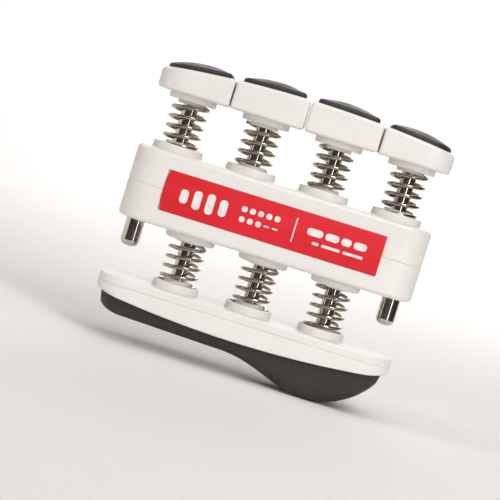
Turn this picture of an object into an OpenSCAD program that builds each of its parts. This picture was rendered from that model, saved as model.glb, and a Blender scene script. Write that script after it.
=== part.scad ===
// Sprung finger exerciser: a palm bar, a housing that slides towards it on
// three sprung shafts, and four sprung finger buttons that slide into the
// housing. +Z points from the palm grip to the buttons, -Y is the front.

/* [Overall] */
// Length of the housing and of the palm bar
bar_w = 80; // [78:0.5:84]
// Distance between neighbouring finger shafts
finger_pitch = 20; // [20:0.1:20.5]
// Radius of the bars' ends, seen from above
end_r = 7.5; // [6:0.5:8.5]

/* [Palm bar] */
// Depth of the palm bar, front to back
palm_d = 20; // [19:0.5:21]
// Height of the palm bar's flat top above the lowest point of the grip
palm_top_z = 16.6; // [16:0.1:18]
// Thickness of the palm bar's top plate
plate_t = 2.4; // [2:0.1:3]
// Radius of the arc where the palm bar meets its rubber grip
palm_arc_r = 285; // [220:5:320]
// Depth of the white palm bar at its middle
palm_bar_h = 7.5; // [7:0.1:8]

/* [Housing] */
// Depth of the housing, front to back
housing_d = 21; // [20:0.5:22]
// Height of the housing
housing_h = 19.4; // [19:0.1:20]
// Wall thickness of both housing shells
wall = 2; // [1.6:0.1:2.2]
// Rounding of the housing's long edges
edge_r = 1.3; // [0.8:0.1:1.6]

/* [Buttons] */
// Width of one finger button
button_w = 19.65; // [19:0.05:19.7]
// Depth of a finger button, front to back
button_d = 20; // [18:0.5:21]
// Height of the button caps at the middle of the row
button_h = 8; // [7.5:0.1:9]
// Radius of the crown that runs over all four caps
crown_r = 300; // [250:10:400]
// Height of the rubber pad's crown above the cap
pad_rise = 2.4; // [1.8:0.1:2.6]

/* [Springs and shafts] */
// Outer diameter of the springs
spring_od = 10.2; // [9.8:0.1:10.4]
// Wire diameter of the springs
wire_d = 0.95; // [0.8:0.05:1]
// Turns of each finger spring
finger_turns = 5.4; // [5:0.1:5.8]
// Turns of each palm spring
palm_turns = 5.2; // [4.8:0.1:5.6]
// Spring length seen between a housing boss and a button collar
finger_gap = 11.8; // [11.5:0.1:12.5]
// Spring length seen between a palm bar boss and the housing
palm_gap = 11.4; // [11:0.1:12]
// Diameter of the steel shafts
shaft_d = 4.2; // [4:0.1:4.4]
// Diameter of the two end pins
pin_d = 4.95; // [4.8:0.05:5]
// Length of an end pin that shows below the housing
pin_out = 7.6; // [6.5:0.1:8]

/* [Hidden] */
$fn = 64;

white = "#EDE9E3";
rubber = "#3B3835";
steel = "#B9B4AC";

// Shaft positions along the bar
finger_x = [for (i = [0:3]) (i - 1.5) * finger_pitch];
palm_x = [for (i = [-1:1]) i * finger_pitch];
pin_x = bar_w / 2 - 4.8;

// Bosses that carry the springs
boss_d = 13.4;
palm_boss_d = 12.8;
palm_boss_h = 2.1;
lower_boss_h = 1.9;
top_boss_h = 2;
groove_od = 10.9;
groove_id = 7.5;
groove_depth = 3;
spigot_rise = 0.8;
spigot_chamfer = 0.3;
lower_spigot_h = 0.6;
lower_spigot_chamfer = 0.2;
collar_d = 12.8;
collar_h = 1.6;
collar_spigot_h = 0.8;
boss_round = 0.8;

// Heights, worked out from the palm bar upwards
plate_z = palm_top_z - plate_t;
palm_arc_z = palm_top_z - palm_bar_h;
palm_rim_z = palm_top_z + palm_boss_h;
lower_boss_z = palm_rim_z + palm_gap;
housing_z = lower_boss_z + lower_boss_h;
housing_top_z = housing_z + housing_h;
seam_z = housing_z + housing_h / 2;
top_rim_z = housing_top_z + top_boss_h;
collar_z = top_rim_z + finger_gap;
button_z = collar_z + collar_h;

// Bores, guides and clips
bore_clear = 0.05;
bore_d = shaft_d + 2 * bore_clear;
guide_od = 8;
palm_guide_h = 4.4;
finger_guide_h = 2.8;
clip_od = 8;
clip_t = 0.8;
clip_gap = 0.06;
shaft_tail = 0.7;
shaft_chamfer = 0.3;
head_d = 7.2;
head_t = 1.6;
head_clear = 0.05;
pin_top_z = housing_z + 4.5;
pin_chamfer = 1;
pin_post_d = 7.6;
pin_post_z = housing_z + 5;
button_socket = 5;
lip_t = 0.9;
lip_h = 1.2;
lip_root = 2;
lip_clear = 0.05;

// Label panel: a bowed plate that sits in a shallow pocket
label_w = 58.7;
label_h = 10.8;
label_x = -0.55;
label_rise = 0.7;
label_pocket = 0.6;
label_bow_r = (pow(label_h / 2, 2) + pow(label_rise, 2)) / (2 * label_rise);
label_clear = 0.1;

// Rubber parts
pad_inset = 1.4;
pad_sink = 1.2;
pad_edge_h = 1;
rubber_clear = 0.02;
grip_inset = 1.4;
grip_end = bar_w / 2 - 2.4;
slope_h = 6.7;
slope_end_h = 5.8;
slope_w = 29;
ease_power = 0.95;
bulge_start = -3;
bulge_x = 20.5;
bulge_side_h = 11;
grip_steps = 40;
section_points = 20;
section_power = 0.6;
grip_min_h = 0.6;
grip_tip = 0.1;

// Cap corners
cap_corner = 0.8;
cap_edge = 0.6;

// Rounding of the palm bar's lower ends
shell_end_r = 2.6;

// How far joined shapes reach into each other, and cutters past a surface
overlap = 0.5;
past = 1;

// Spring mesh: sides of the wire and rings in one turn
wire_sides = 8;
turn_rings = 12;
spring_slack = 0.04;

// Rounded rectangle, centred
module plan(w, d, r) {
    square([w - 2 * r, d], center = true);
    square([w, d - 2 * r], center = true);
    for (sx = [-1, 1], sy = [-1, 1])
        translate([sx * (w / 2 - r), sy * (d / 2 - r)]) circle(r);
}

// Bar along X from z = 0 to h with rounded ends and rounded long edges
module soft_bar(w, d, h, r, edge) {
    intersection() {
        linear_extrude(h) plan(w, d, r);
        translate([0, d / 2, h / 2]) rotate([90, 0, 0])
            linear_extrude(d) plan(w, h, edge);
        translate([-w / 2, 0, h / 2]) rotate([90, 0, 90])
            linear_extrude(w) plan(d, h, edge);
    }
}

// Straight-sided bar, used for hollows and shell halves
module bar(w, d, h, r) {
    linear_extrude(h) plan(w, d, r);
}

// Slab between two heights, wider than the whole object
module slab(z0, z1) {
    translate([-bar_w, -housing_d, z0]) cube([2 * bar_w, 2 * housing_d, z1 - z0]);
}

// Ring along Z
module tube(od, id, h) {
    difference() {
        cylinder(d = od, h = h);
        translate([0, 0, -past]) cylinder(d = id, h = h + 2 * past);
    }
}

// Boss with a spigot that stands inside the spring
module spring_boss(d, h) {
    rotate_extrude()
        polygon([
            [0, -overlap], [d / 2, -overlap], [d / 2, h - boss_round / 2],
            [d / 2 - boss_round / 2, h], [groove_id / 2, h],
            [groove_id / 2, h + spigot_rise - spigot_chamfer],
            [groove_id / 2 - spigot_chamfer, h + spigot_rise], [0, h + spigot_rise]
        ]);
}

// Cutter for the deep ring groove that the spring's lower turns sink into
module groove_cut(rim_z) {
    translate([0, 0, rim_z - groove_depth]) tube(groove_od, groove_id, groove_depth + past);
}

// Flat boss that hangs down, with a spigot inside the spring
module hanging_boss(d, h, spigot_d, spigot_h) {
    rotate_extrude()
        polygon([
            [0, overlap], [d / 2, overlap], [d / 2, boss_round - h],
            [d / 2 - boss_round, -h], [spigot_d / 2, -h],
            [spigot_d / 2, lower_spigot_chamfer - h - spigot_h],
            [spigot_d / 2 - lower_spigot_chamfer, -h - spigot_h], [0, -h - spigot_h]
        ]);
}

// Steel rod with a chamfer at each end
module rod(d, z0, z1, chamfer) {
    rotate_extrude()
        polygon([
            [0, z0], [d / 2 - chamfer, z0], [d / 2, z0 + chamfer],
            [d / 2, z1 - chamfer], [d / 2 - chamfer, z1], [0, z1]
        ]);
}

// Points of one ring of wire, square to a helix of the given pitch
function wire_ring(a, z, pitch) =
    let (
        r = (spring_od - wire_d) / 2,
        slope = atan2(pitch, 2 * PI * r),
        out = [cos(a), sin(a), 0],
        up = [sin(a) * sin(slope), -cos(a) * sin(slope), cos(slope)]
    )
    [for (k = [0:wire_sides - 1])
        let (b = 360 * k / wire_sides)
        r * out + [0, 0, z] + wire_d / 2 * (cos(b) * out + sin(b) * up)];

// Right-handed open coil spring between two heights
module spring(z0, z1, turns, start) {
    rings = ceil(turns * turn_rings);
    low = z0 + wire_d / 2 + spring_slack;
    high = z1 - wire_d / 2 - spring_slack;
    pitch = (high - low) / turns;
    points = [for (i = [0:rings])
        each wire_ring(start + 360 * turns * i / rings, low + (high - low) * i / rings, pitch)];
    sides = [for (i = [0:rings - 1], k = [0:wire_sides - 1])
        let (n = (k + 1) % wire_sides, a = i * wire_sides, b = a + wire_sides)
        [a + k, b + k, b + n, a + n]];
    first = [for (k = [0:wire_sides - 1]) k];
    last = [for (k = [wire_sides - 1:-1:0]) rings * wire_sides + k];
    color(steel) polyhedron(points, concat([first], sides, [last]), convexity = 10);
}

// Retaining clip on a shaft
module clip(x, z) {
    color(steel) translate([x, 0, z]) tube(clip_od, shaft_d, clip_t);
}

// Palm bar --------------------------------------------------------------

module palm_bar_plate() {
    color(white) difference() {
        union() {
            intersection() {
                translate([0, 0, palm_arc_z])
                    soft_bar(bar_w, palm_d, palm_bar_h, end_r, edge_r);
                slab(plate_z, palm_top_z);
            }
            for (x = palm_x) translate([x, 0, palm_top_z]) spring_boss(palm_boss_d, palm_boss_h);
        }
        for (x = palm_x) translate([x, 0, 0]) {
            groove_cut(palm_rim_z);
            translate([0, 0, plate_z - past])
                cylinder(d = shaft_d, h = plate_t + palm_boss_h + spigot_rise + 2 * past);
        }
    }
}

// Front outline of the shell: an arc below, rounded up into both ends
module shell_outline() {
    end_x = bar_w / 2 - shell_end_r;
    difference() {
        intersection() {
            translate([0, palm_arc_z + palm_arc_r]) circle(palm_arc_r, $fn = 360);
            translate([-bar_w / 2, palm_arc_z]) square([bar_w, plate_z - palm_arc_z]);
        }
        for (s = [-1, 1]) translate([s * bar_w / 2 - shell_end_r, palm_arc_z - past])
            square([2 * shell_end_r, plate_z - palm_arc_z + 2 * past]);
    }
    for (s = [-1, 1]) intersection() {
        translate([s * end_x, plate_z]) circle(shell_end_r);
        translate([s * end_x - shell_end_r, plate_z - shell_end_r])
            square([2 * shell_end_r, shell_end_r]);
    }
}

module palm_bar_shell() {
    color(white) difference() {
        intersection() {
            translate([0, 0, palm_arc_z]) bar(bar_w, palm_d, plate_z - palm_arc_z, end_r);
            translate([0, palm_d, 0]) rotate([90, 0, 0])
                linear_extrude(2 * palm_d) shell_outline();
        }
        for (x = palm_x) translate([x, 0, plate_z - head_t])
            cylinder(d = head_d, h = head_t + past);
    }
}

// Lower edge of the grip: a shallow slope that eases into a rounded bulge
function grip_low(x) =
    let (
        ease = (x - bulge_start) / (bulge_x - bulge_start),
        side = (x - bulge_x) / (grip_end - bulge_x)
    )
    x < bulge_start ? slope_end_h + (slope_h - slope_end_h) * min(1, (bulge_start - x) / slope_w)
    : x < bulge_x ? slope_end_h * (1 + cos(180 * pow(ease, ease_power))) / 2
    : bulge_side_h * (1 - sqrt(max(0, 1 - side * side)));

// Upper edge of the grip, just under the palm bar's arc
function grip_top(x) =
    palm_arc_z + palm_arc_r - sqrt(pow(palm_arc_r, 2) - x * x) - rubber_clear;

// Half depth of the grip, rounded at both ends of the bar
function grip_half(x) =
    let (
        half = palm_d / 2 - grip_inset,
        turn = max(0, abs(x) - (grip_end - end_r))
    )
    half - end_r + max(grip_tip, sqrt(max(0, pow(end_r, 2) - turn * turn)));

// Section of the grip at x: flat top, full round sides
function grip_ring(x) =
    let (
        top = grip_top(x),
        low = min(grip_low(x), top - grip_min_h),
        half = grip_half(x)
    )
    [for (k = [0:section_points])
        let (a = 180 * k / section_points)
        [
            x,
            half * sign(cos(a)) * pow(abs(cos(a)), section_power),
            top - (top - low) * pow(sin(a), section_power)
        ]];

module palm_grip() {
    xs = [for (i = [0:grip_steps]) -grip_end * cos(180 * i / grip_steps)];
    count = section_points + 1;
    points = [for (x = xs) each grip_ring(x)];
    sides = [for (i = [0:grip_steps - 1], k = [0:section_points])
        let (n = (k + 1) % count, a = i * count, b = a + count)
        [a + k, a + n, b + n, b + k]];
    first = [for (k = [section_points:-1:0]) k];
    last = [for (k = [0:section_points]) grip_steps * count + k];
    color(rubber) polyhedron(points, concat([first], sides, [last]), convexity = 4);
}

module palm_shaft(x) {
    z1 = housing_z + wall + palm_guide_h + clip_gap + clip_t + shaft_tail;
    color(steel) translate([x, 0, 0]) union() {
        rod(shaft_d, plate_z - head_t / 2, z1, shaft_chamfer);
        translate([0, 0, plate_z - head_t])
            cylinder(d = head_d - 2 * head_clear, h = head_t);
    }
}

// Housing ---------------------------------------------------------------

module housing_body() {
    translate([0, 0, housing_z]) soft_bar(bar_w, housing_d, housing_h, end_r, edge_r);
}

module housing_hollow(z0, z1) {
    translate([0, 0, z0])
        bar(bar_w - 2 * wall, housing_d - 2 * wall, z1 - z0, end_r - wall);
}

// Shallow pocket for the label across both shells
module label_pocket_cut() {
    translate([label_x, -housing_d / 2, seam_z])
        cube([label_w + label_clear, 2 * label_pocket, label_h + label_clear], center = true);
}

// Plate bowed about the long axis: proud in its middle, flush above and below
module label_panel() {
    color("#D8232F") translate([label_x, -housing_d / 2, seam_z]) intersection() {
        translate([-label_w / 2, -2 * label_rise, -label_h / 2])
            cube([label_w, 2 * label_rise + label_pocket, label_h]);
        translate([-label_w, label_bow_r - label_rise, 0]) rotate([0, 90, 0])
            cylinder(r = label_bow_r, h = 2 * label_w, $fn = 256);
    }
}

module housing_lower() {
    color(white) difference() {
        union() {
            difference() {
                intersection() {
                    housing_body();
                    slab(housing_z, seam_z);
                }
                housing_hollow(housing_z + wall, seam_z + past);
            }
            // tongue that keys into the upper shell
            difference() {
                translate([0, 0, seam_z - lip_root])
                    bar(bar_w - 2 * lip_t, housing_d - 2 * lip_t, lip_h + lip_root, end_r - lip_t);
                housing_hollow(seam_z - lip_root - past, seam_z + lip_h + past);
            }
            for (x = palm_x) translate([x, 0, housing_z]) {
                hanging_boss(boss_d, lower_boss_h, groove_id, lower_spigot_h);
                cylinder(d = guide_od, h = wall + palm_guide_h);
            }
            for (s = [-1, 1]) translate([s * pin_x, 0, housing_z + overlap])
                cylinder(d = pin_post_d, h = pin_post_z - housing_z - overlap);
        }
        for (x = palm_x) translate([x, 0, palm_rim_z])
            cylinder(d = bore_d, h = seam_z - palm_rim_z);
        for (s = [-1, 1]) translate([s * pin_x, 0, housing_z - past])
            cylinder(d = pin_d, h = pin_top_z - housing_z + past);
        label_pocket_cut();
    }
}

module housing_upper() {
    color(white) difference() {
        union() {
            difference() {
                intersection() {
                    housing_body();
                    slab(seam_z, housing_top_z);
                }
                housing_hollow(seam_z - past, housing_top_z - wall);
                // rebate for the lower shell's tongue
                translate([0, 0, seam_z - past])
                    bar(bar_w - 2 * (lip_t - lip_clear), housing_d - 2 * (lip_t - lip_clear),
                        lip_h + lip_clear + past, end_r - lip_t + lip_clear);
            }
            for (x = finger_x) {
                translate([x, 0, housing_top_z]) spring_boss(boss_d, top_boss_h);
                translate([x, 0, housing_top_z - wall - finger_guide_h])
                    cylinder(d = guide_od, h = finger_guide_h + wall);
            }
        }
        for (x = finger_x) translate([x, 0, 0]) {
            groove_cut(top_rim_z);
            translate([0, 0, seam_z]) cylinder(d = bore_d, h = housing_h);
        }
        label_pocket_cut();
    }
}

module end_pin(side) {
    color(steel) translate([side * pin_x, 0, 0])
        rod(pin_d, housing_z - pin_out, pin_top_z, pin_chamfer);
}

// Finger buttons --------------------------------------------------------

// Plan of a cap: the outer ends of the row are rounded like the housing
module cap_plan(i, inset) {
    w = button_w - 2 * inset;
    d = button_d - 2 * inset;
    outer = i == 0 ? -1 : i == 3 ? 1 : 0;
    intersection() {
        plan(w, d, cap_corner);
        translate([-outer * end_r, 0])
            plan(w + 2 * end_r * abs(outer), d, outer == 0 ? cap_corner : end_r - inset);
    }
}

// Everything below the crown that runs over the four caps
module under_crown(rise) {
    translate([0, button_d, button_z + button_h + rise - crown_r]) rotate([90, 0, 0])
        cylinder(r = crown_r, h = 2 * button_d, $fn = 360);
}

function crown_z(x) = button_z + button_h - crown_r + sqrt(pow(crown_r, 2) - x * x);

module button(i) {
    x = finger_x[i];
    top = 2 * button_h;
    color(white) difference() {
        union() {
            intersection() {
                translate([x, 0, button_z]) linear_extrude(top) cap_plan(i, 0);
                translate([x, button_d, button_z + button_h]) rotate([90, 0, 0])
                    linear_extrude(2 * button_d) plan(button_w, top, cap_edge);
                translate([x - button_w, 0, button_z + button_h]) rotate([90, 0, 90])
                    linear_extrude(2 * button_w) plan(button_d, top, cap_edge);
                under_crown(0);
            }
            translate([x, 0, button_z]) hanging_boss(collar_d, collar_h, groove_id, collar_spigot_h);
        }
        difference() {
            translate([x, 0, button_z]) linear_extrude(top) cap_plan(i, pad_inset);
            under_crown(-pad_sink);
        }
        translate([x, 0, top_rim_z])
            cylinder(d = shaft_d, h = finger_gap + button_socket);
    }
}

// Pillow-shaped pad that follows the crown and fills the cap's recess
module pad(i) {
    x = finger_x[i];
    rise = pad_rise - pad_edge_h;
    half_w = button_w / 2 - pad_inset;
    half_d = button_d / 2 - pad_inset;
    r_x = (half_w * half_w + rise * rise) / (2 * rise);
    r_y = (half_d * half_d + rise * rise) / (2 * rise);
    color(rubber) difference() {
        intersection() {
            translate([x, 0, button_z])
                linear_extrude(2 * button_h) cap_plan(i, pad_inset + rubber_clear);
            translate([x, 0, crown_z(x)]) rotate([0, asin(x / crown_r), 0]) intersection() {
                translate([0, button_d, pad_rise - r_x]) rotate([90, 0, 0])
                    cylinder(r = r_x, h = 2 * button_d, $fn = 256);
                translate([-button_w, 0, pad_rise - r_y]) rotate([0, 90, 0])
                    cylinder(r = r_y, h = 2 * button_w, $fn = 256);
            }
        }
        under_crown(rubber_clear - pad_sink);
    }
}

module finger_shaft(i) {
    z0 = housing_top_z - wall - finger_guide_h - clip_gap - clip_t - shaft_tail;
    color(steel) translate([finger_x[i], 0, 0])
        rod(shaft_d, z0, collar_z + button_socket, shaft_chamfer);
}

module finger_clip(i) {
    clip(finger_x[i], housing_top_z - wall - finger_guide_h - clip_gap - clip_t);
}

module palm_clip(i) {
    clip(palm_x[i], housing_z + wall + palm_guide_h + clip_gap);
}

// Angle at which each spring's lower end starts
finger_start = [272, 36, 82, 286];
palm_start = [24, 18, 167];

module finger_spring(i) {
    translate([finger_x[i], 0, 0])
        spring(top_rim_z - groove_depth, collar_z, finger_turns, finger_start[i]);
}

module palm_spring(i) {
    translate([palm_x[i], 0, 0])
        spring(palm_rim_z - groove_depth, lower_boss_z, palm_turns, palm_start[i]);
}

palm_bar_plate();
palm_bar_shell();
palm_grip();
palm_shaft(palm_x[0]);  // palm_shaft_left
palm_shaft(palm_x[1]);  // palm_shaft_middle
palm_shaft(palm_x[2]);  // palm_shaft_right
palm_clip(0);  // palm_clip_left
palm_clip(1);  // palm_clip_middle
palm_clip(2);  // palm_clip_right
palm_spring(0);  // palm_spring_left
palm_spring(1);  // palm_spring_middle
palm_spring(2);  // palm_spring_right
housing_lower();
housing_upper();
label_panel();
end_pin(-1);  // end_pin_left
end_pin(1);  // end_pin_right
button(0);  // button_index
button(1);  // button_middle
button(2);  // button_ring
button(3);  // button_little
pad(0);  // pad_index
pad(1);  // pad_middle
pad(2);  // pad_ring
pad(3);  // pad_little
finger_shaft(0);  // finger_shaft_index
finger_shaft(1);  // finger_shaft_middle
finger_shaft(2);  // finger_shaft_ring
finger_shaft(3);  // finger_shaft_little
finger_clip(0);  // finger_clip_index
finger_clip(1);  // finger_clip_middle
finger_clip(2);  // finger_clip_ring
finger_clip(3);  // finger_clip_little
finger_spring(0);  // finger_spring_index
finger_spring(1);  // finger_spring_middle
finger_spring(2);  // finger_spring_ring
finger_spring(3);  // finger_spring_little
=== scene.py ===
# Finger exerciser: finished pieces, materials, light and camera over the CAD frame.
import math

import bmesh
import bpy
from mathutils import Matrix, Quaternion, Vector
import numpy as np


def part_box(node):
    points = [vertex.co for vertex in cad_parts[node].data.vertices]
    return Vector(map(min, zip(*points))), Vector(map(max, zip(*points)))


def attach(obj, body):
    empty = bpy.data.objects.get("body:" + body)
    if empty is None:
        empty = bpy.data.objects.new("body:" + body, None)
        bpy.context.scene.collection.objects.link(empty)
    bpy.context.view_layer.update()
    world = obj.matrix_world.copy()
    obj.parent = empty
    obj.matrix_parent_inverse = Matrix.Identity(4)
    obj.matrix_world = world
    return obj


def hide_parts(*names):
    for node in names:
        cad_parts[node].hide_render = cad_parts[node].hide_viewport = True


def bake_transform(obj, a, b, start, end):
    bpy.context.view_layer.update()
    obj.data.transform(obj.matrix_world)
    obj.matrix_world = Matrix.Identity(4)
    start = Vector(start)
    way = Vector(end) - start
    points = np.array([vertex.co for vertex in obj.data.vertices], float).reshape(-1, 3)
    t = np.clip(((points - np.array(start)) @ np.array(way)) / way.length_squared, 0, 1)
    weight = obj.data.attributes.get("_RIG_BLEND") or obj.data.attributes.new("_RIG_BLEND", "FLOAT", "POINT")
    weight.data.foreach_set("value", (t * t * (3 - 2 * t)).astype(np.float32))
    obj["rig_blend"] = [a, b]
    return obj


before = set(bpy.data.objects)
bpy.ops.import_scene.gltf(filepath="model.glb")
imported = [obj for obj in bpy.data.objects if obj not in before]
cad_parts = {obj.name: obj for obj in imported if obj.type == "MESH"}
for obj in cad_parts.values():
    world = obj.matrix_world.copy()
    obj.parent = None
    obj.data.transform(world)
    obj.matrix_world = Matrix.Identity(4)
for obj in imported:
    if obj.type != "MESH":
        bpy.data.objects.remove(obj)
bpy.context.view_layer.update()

MM = 0.001
scene = bpy.context.scene

# ---------------------------------------------------------------- camera

CAMERA_PLACE = Vector((0.003, -0.480, 0.0616))
CAMERA_AIM = Vector((-0.0041, 0.0, 0.0327))
CAMERA_ROLL = math.radians(17.2)
CAMERA_LENS = 131.5


def make_camera():
    data = bpy.data.cameras.new("camera")
    data.lens = CAMERA_LENS
    data.clip_end = 20
    obj = bpy.data.objects.new("camera", data)
    scene.collection.objects.link(obj)
    look = (CAMERA_AIM - CAMERA_PLACE).to_track_quat("-Z", "Y")
    obj.location = CAMERA_PLACE
    obj.rotation_mode = "QUATERNION"
    obj.rotation_quaternion = look @ Quaternion((0, 0, 1), CAMERA_ROLL)
    scene.camera = obj


make_camera()

# ------------------------------------------------- sizes, in millimetres


def box_mm(node):
    low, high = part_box(node)
    return Vector(low) / MM, Vector(high) / MM


FINGERS = ["index", "middle", "ring", "little"]
SIDES = ["left", "middle", "right"]

upper_low, upper_high = box_mm("housing_upper")
plate_low, plate_high = box_mm("palm_bar_plate")
label_low, label_high = box_mm("label_panel")

BAR_W = upper_high.x - upper_low.x
HOUSING_D = upper_high.y - upper_low.y
PALM_D = plate_high.y - plate_low.y
END_R = 7.5
WALL = 2.0
EDGE_R = 1.3
SEAM_V = 0.2

SEAM_Z = upper_low.z
HOUSING_H = 19.4
HOUSING_Z = SEAM_Z - HOUSING_H / 2
HOUSING_TOP = SEAM_Z + HOUSING_H / 2
PLATE_Z = plate_low.z
PLATE_H = 2.4
PALM_TOP = PLATE_Z + PLATE_H

FINGER_X = [sum(v.x for v in box_mm(f"finger_shaft_{f}")) / 2 for f in FINGERS]
PALM_X = [sum(v.x for v in box_mm(f"palm_shaft_{s}")) / 2 for s in SIDES]
PIN_X = sum(v.x for v in box_mm("end_pin_right")) / 2
PIN_R = 2.475

SHAFT_R = 2.1
BORE_R = 2.15
GUIDE_R = 4.0
BOSS_R = 6.7
PALM_BOSS_R = 6.2
GROOVE_OUT = 5.45
GROOVE_IN = 3.75
GROOVE_DEPTH = 3.0
SPIGOT_RISE = 0.8
TOP_BOSS_H = 2.0
PALM_BOSS_H = 2.1
LOWER_BOSS_H = 1.9

SPRING_SLACK = 0.04
COLLAR_R = 6.4
COLLAR_H = 1.6
COLLAR_Z = box_mm("finger_spring_index")[1].z + SPRING_SLACK
BUTTON_Z = COLLAR_Z + COLLAR_H
BUTTON_W = 19.65
BUTTON_D = 20.0
BUTTON_H = 8.0
CROWN_R = 300.0
PAD_INSET = 1.4
PAD_RISE = 2.4
PAD_SINK = 1.2

PALM_ARC_R = 286.0
PALM_BAR_H = 7.5
PALM_ARC_Z = PALM_TOP - PALM_BAR_H
PALM_EDGE_R = 0.6

# --------------------------------------------------------- mesh building


def arc(cx, cz, radius, start, end, steps):
    """Points of a circular arc in a profile, angles in degrees."""
    angles = [math.radians(start + (end - start) * i / steps) for i in range(steps + 1)]
    return [(cx + radius * math.cos(a), cz + radius * math.sin(a)) for a in angles]


def smooth_step(value, low, high):
    t = min(1.0, max(0.0, (value - low) / (high - low)))
    return t * t * (3 - 2 * t)


# Steps along a ring's long sides, its short sides and each corner
RUN_X = 40
RUN_Y = 6
CORNER = 10
MIN_RADIUS = 0.04


def outline(width, depth, radii, inset, run_x=RUN_X, run_y=RUN_Y, corner=CORNER):
    """Rounded rectangle, counter-clockwise; radii are at the -X and the +X end."""
    half_w = width / 2 - inset
    half_d = depth / 2 - inset
    left = max(radii[0] - inset, MIN_RADIUS)
    right = max(radii[1] - inset, MIN_RADIUS)
    corners = [
        (half_w - right, right - half_d, right, -90, run_y),
        (half_w - right, half_d - right, right, 0, run_x),
        (left - half_w, half_d - left, left, 90, run_y),
        (left - half_w, left - half_d, left, 180, run_x),
    ]
    points = []
    for k, (cx, cy, r, start, run) in enumerate(corners):
        turn = arc(cx, cy, r, start, start + 90, corner)
        ncx, ncy, nr, nstart, _ = corners[(k + 1) % 4]
        after = arc(ncx, ncy, nr, nstart, nstart, 1)[0]
        last = turn[-1]
        points += turn
        points += [
            (last[0] + (after[0] - last[0]) * i / run, last[1] + (after[1] - last[1]) * i / run)
            for i in range(1, run)
        ]
    return points


def add_ring(bm, points):
    return [bm.verts.new((x * MM, y * MM, z * MM)) for x, y, z in points]


def bridge(bm, a, b):
    """Quads between two closed rings of the same length."""
    n = len(a)
    for i in range(n):
        j = (i + 1) % n
        bm.faces.new((a[i], a[j], b[j], b[i]))


def loft(bm, rings):
    """Skins a list of point rings and returns the first and the last vertex ring."""
    made = [add_ring(bm, ring) for ring in rings]
    for a, b in zip(made, made[1:]):
        bridge(bm, a, b)
    return made[0], made[-1]


def close_ring(bm, ring, mirror=2 * CORNER + RUN_Y):
    """Closes a ring made by outline with strips; vertex i meets vertex mirror - i."""
    n = len(ring)
    for i in range((mirror - n) // 2, mirror // 2):
        quad = [ring[i % n], ring[(i + 1) % n], ring[(mirror - i - 1) % n], ring[(mirror - i) % n]]
        bm.faces.new(list(dict.fromkeys(quad)))


def circle_points(cx, radius, z, steps):
    turn = [2 * math.pi * i / steps for i in range(steps)]
    return [(cx + radius * math.cos(a), radius * math.sin(a), z) for a in turn]


def revolve(bm, cx, profile, steps=64):
    """Turns (radius, height) points about a vertical axis at x = cx, y = 0."""
    return loft(bm, [circle_points(cx, r, z, steps) for r, z in profile])


def ring_edges(bm, ring):
    return [bm.edges.get((a, b)) or bm.edges.new((a, b)) for a, b in zip(ring, ring[1:] + ring[:1])]


def fill(bm, *rings):
    """Flat face inside the first ring, with the other rings as holes."""
    edges = [e for ring in rings for e in ring_edges(bm, ring)]
    bmesh.ops.triangle_fill(bm, use_beauty=True, use_dissolve=False, edges=edges)


def finish_mesh(name, bm, material, sharp=32):
    """Turns a bmesh into a smooth-shaded object with clean flat faces."""
    bmesh.ops.recalc_face_normals(bm, faces=bm.faces)
    mesh = bpy.data.meshes.new(name)
    bm.to_mesh(mesh)
    bm.free()
    mesh.shade_smooth()
    mesh.set_sharp_from_angle(angle=math.radians(sharp))
    mesh.materials.append(material)
    obj = bpy.data.objects.new(name, mesh)
    scene.collection.objects.link(obj)
    return obj


def flat_normals(obj):
    weights = obj.modifiers.new("face_weights", "WEIGHTED_NORMAL")
    weights.keep_sharp = True


def place(obj, body, slot, *nodes):
    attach(obj, body)
    if nodes:
        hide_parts(*nodes)


def cut(obj, low, high):
    """Cuts a box, given in millimetres, out of an object."""
    bm = bmesh.new()
    size = high - low
    middle = (high + low) / 2
    where = Matrix.Translation(middle * MM) @ Matrix.Diagonal((*(size * MM), 1))
    bmesh.ops.create_cube(bm, size=1, matrix=where)
    mesh = bpy.data.meshes.new("cutter")
    bm.to_mesh(mesh)
    bm.free()
    cutter = bpy.data.objects.new("cutter", mesh)
    scene.collection.objects.link(cutter)
    step = obj.modifiers.new("cut", "BOOLEAN")
    step.operation = "DIFFERENCE"
    step.solver = "EXACT"
    step.object = cutter
    graph = bpy.context.evaluated_depsgraph_get()
    result = bpy.data.meshes.new_from_object(obj.evaluated_get(graph))
    obj.modifiers.remove(step)
    obj.data = result
    bpy.data.objects.remove(cutter)


# ------------------------------------------------------------- materials


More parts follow.
